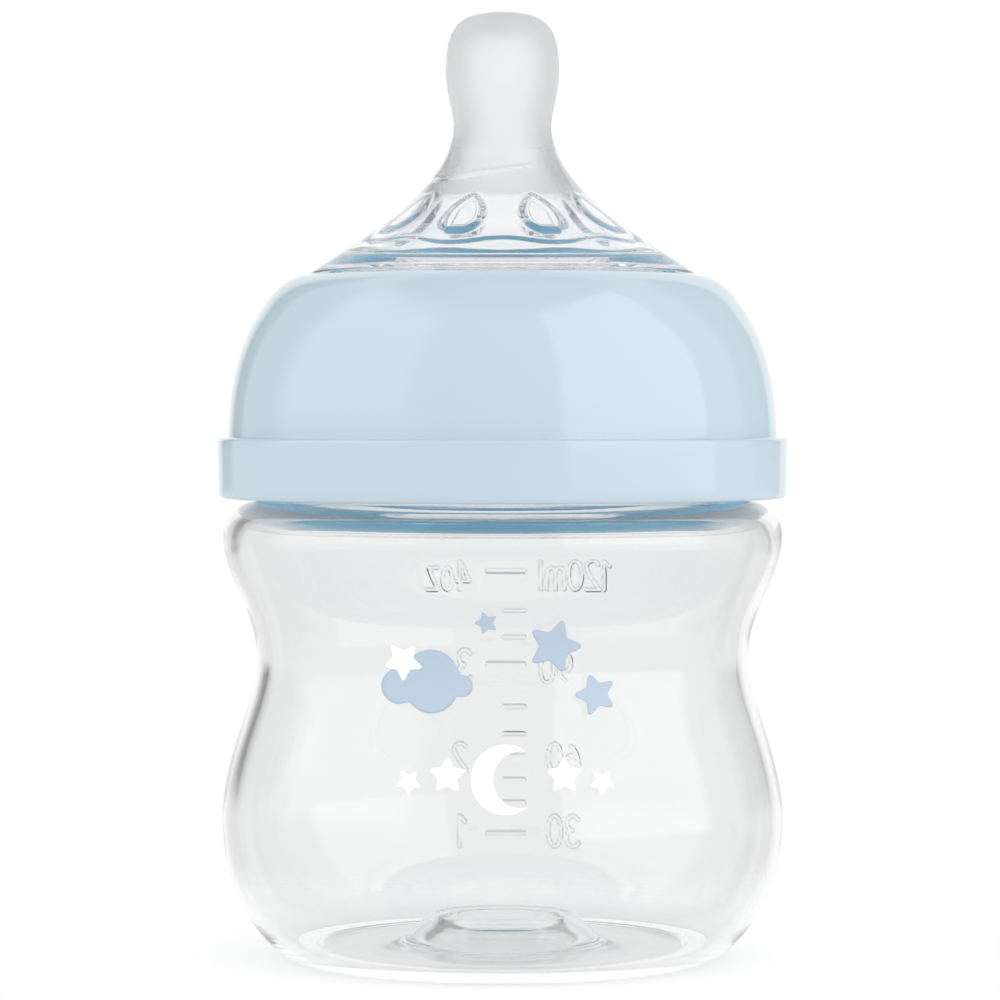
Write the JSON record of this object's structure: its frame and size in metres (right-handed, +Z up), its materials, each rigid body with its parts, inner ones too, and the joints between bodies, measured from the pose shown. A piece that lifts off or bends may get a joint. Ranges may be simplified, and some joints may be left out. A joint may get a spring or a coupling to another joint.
{
  "type": "baby bottle",
  "caption": "Clear waisted wide-neck feeding bottle with a pale blue domed screw collar and a soft silicone teat.",
  "frame": {"origin": "centre of the flat foot ring that the bottle stands on, the lowest point of the part", "axes": "+Z up along the bottle's axis through the teat's tip; -Y is the front, with the printed decoration; the raised volume scale is on the +Y side"},
  "size_m": [0.0682, 0.0682, 0.1129],
  "materials": {
    "clear_plastic": "crystal-clear moulded plastic, polished",
    "blue_plastic": "opaque pale blue moulded plastic, high gloss",
    "silicone": "clear silicone rubber, matt frosted on the teat and glossy on the skirt"
  },
  "bodies": {
    "bottle": {"bottle_body": "clear_plastic"},
    "teat": {"silicone_teat": "silicone"},
    "collar": {"screw_collar": "blue_plastic"}
  },
  "joints": [
    {"name": "teat_lift", "type": "slide", "parent": "bottle", "child": "teat", "axis": [0, 0, 1], "range_m": [0, 0.024]},
    {"name": "collar_turn", "type": "hinge", "parent": "teat", "child": "collar", "pos_m": [0, 0, 0.06], "axis": [0, 0, 1], "range_deg": [0, 1440]}
  ],
  "couplings": [
    {"joint": "teat_lift", "follows": "collar_turn", "m_per_rad": 0.00095493}
  ]
}
